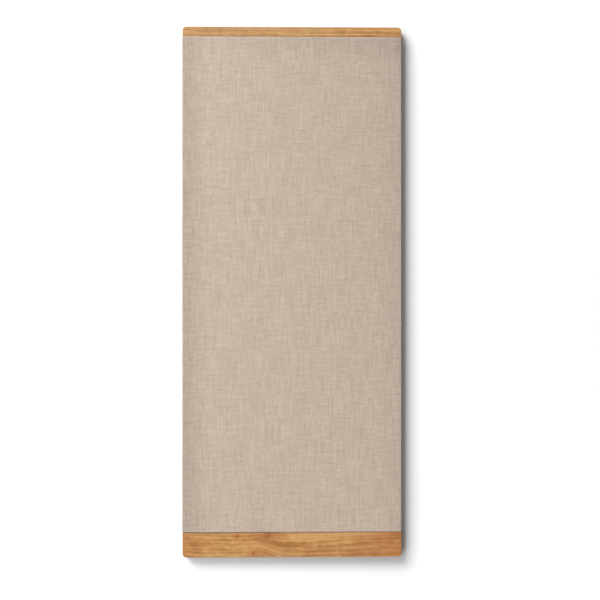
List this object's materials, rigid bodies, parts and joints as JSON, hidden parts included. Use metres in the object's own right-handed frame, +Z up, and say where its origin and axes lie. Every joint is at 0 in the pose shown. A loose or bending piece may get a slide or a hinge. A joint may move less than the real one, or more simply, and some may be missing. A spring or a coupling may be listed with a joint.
{
  "type": "pinboard",
  "caption": "Tall wall pinboard: natural linen stretched over soft fibre board on a pine frame, between a slim top rail and a deeper bottom rail of oak, hung by keyhole plates.",
  "frame": {"origin": "on the wall plane, midway between the two keyhole plates, at the height where the wall screws come to rest in their slots", "axes": "+X to the right as seen from the front, +Y from the front into the wall, +Z up"},
  "size_m": [0.414, 0.025, 1],
  "materials": {
    "oak": "satin",
    "linen": "matte",
    "softboard": "matte",
    "pine": "matte",
    "hardboard": "satin",
    "beech": "matte",
    "zinc_steel": "satin"
  },
  "bodies": {
    "root": {"top_rail": "oak", "bottom_rail": "oak", "linen_cover": "linen", "pin_board": "softboard", "left_stile": "pine", "right_stile": "pine", "top_crossbar": "pine", "middle_crossbar": "pine", "bottom_crossbar": "pine", "back_board": "hardboard", "top_dowel_left": "beech", "top_dowel_right": "beech", "bottom_dowel_left": "beech", "bottom_dowel_right": "beech", "top_rail_screw_left": "zinc_steel", "top_rail_screw_centre": "zinc_steel", "top_rail_screw_right": "zinc_steel", "bottom_rail_screw_left": "zinc_steel", "bottom_rail_screw_centre": "zinc_steel", "bottom_rail_screw_right": "zinc_steel", "left_hanger_plate": "zinc_steel", "left_hanger_screw_outer": "zinc_steel", "left_hanger_screw_inner": "zinc_steel", "right_hanger_plate": "zinc_steel", "right_hanger_screw_outer": "zinc_steel", "right_hanger_screw_inner": "zinc_steel", "back_screw_left_1": "zinc_steel", "back_screw_left_2": "zinc_steel", "back_screw_left_3": "zinc_steel", "back_screw_left_4": "zinc_steel", "back_screw_right_1": "zinc_steel", "back_screw_right_2": "zinc_steel", "back_screw_right_3": "zinc_steel", "back_screw_right_4": "zinc_steel", "back_screw_top_left": "zinc_steel", "back_screw_top_right": "zinc_steel", "back_screw_bottom_left": "zinc_steel", "back_screw_bottom_right": "zinc_steel"}
  },
  "joints": []
}
